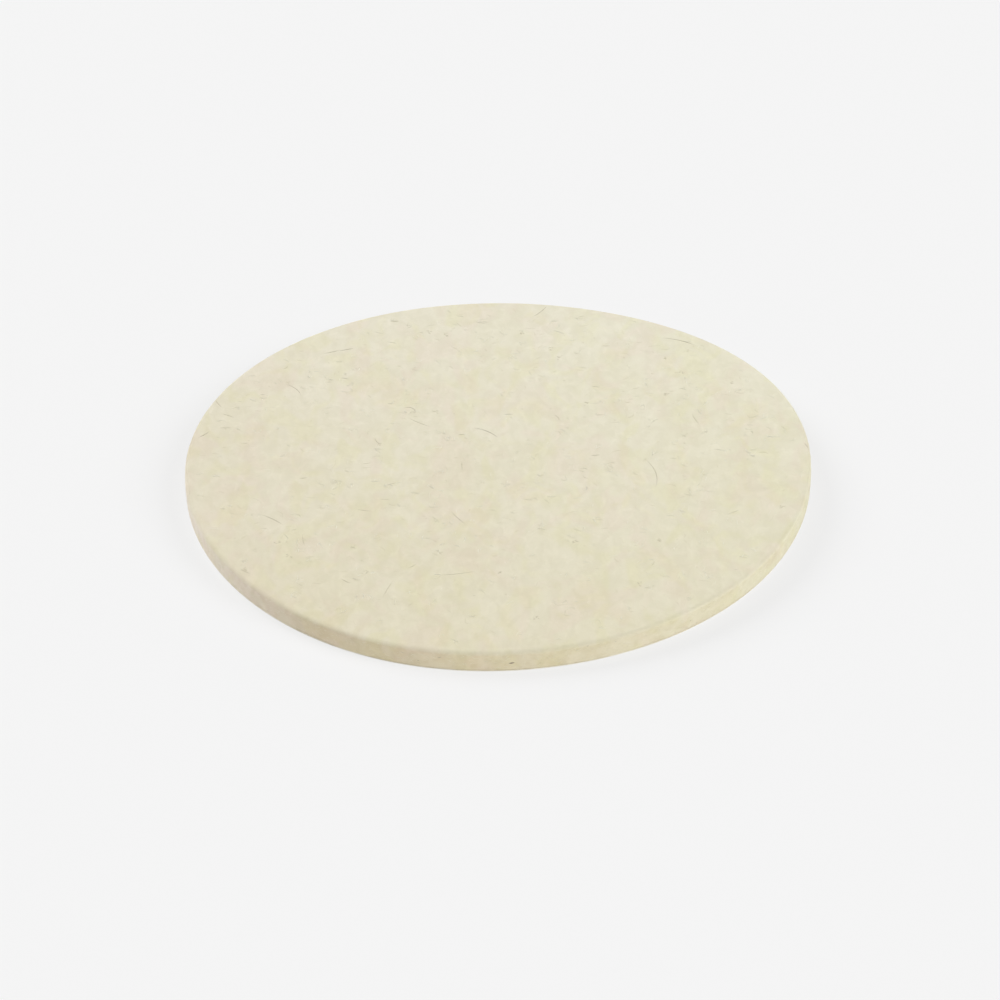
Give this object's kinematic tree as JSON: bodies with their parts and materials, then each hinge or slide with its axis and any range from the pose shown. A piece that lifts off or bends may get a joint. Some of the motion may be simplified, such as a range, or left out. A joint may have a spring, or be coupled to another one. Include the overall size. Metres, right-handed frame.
{
  "type": "felt polishing wheel",
  "caption": "Round pressed wool felt polishing pad for a flat lap, with a peel-and-stick back under a release liner.",
  "frame": {"origin": "centre of the underside, where the liner lies on the bench", "axes": "+Z out of the polishing face, along the disc's axis; -Y towards the viewer; the liner peels away about the rim at +Y"},
  "size_m": [0.1524, 0.1524, 0.0053],
  "materials": {
    "felt": "matte",
    "felt_side_adhesive": "satin",
    "carrier_film": "gloss",
    "plate_side_adhesive": "gloss",
    "release_liner": "satin"
  },
  "bodies": {
    "pad": {"felt_disc": "felt", "felt_side_adhesive": "felt_side_adhesive", "carrier_film": "carrier_film", "plate_side_adhesive": "plate_side_adhesive"},
    "liner": {"release_liner": "release_liner"}
  },
  "joints": [
    {"name": "liner_peel", "type": "hinge", "parent": "pad", "child": "liner", "pos_m": [0, 0.0762, 0.00033], "axis": [1, 0, 0], "range_deg": [0, 180]}
  ]
}
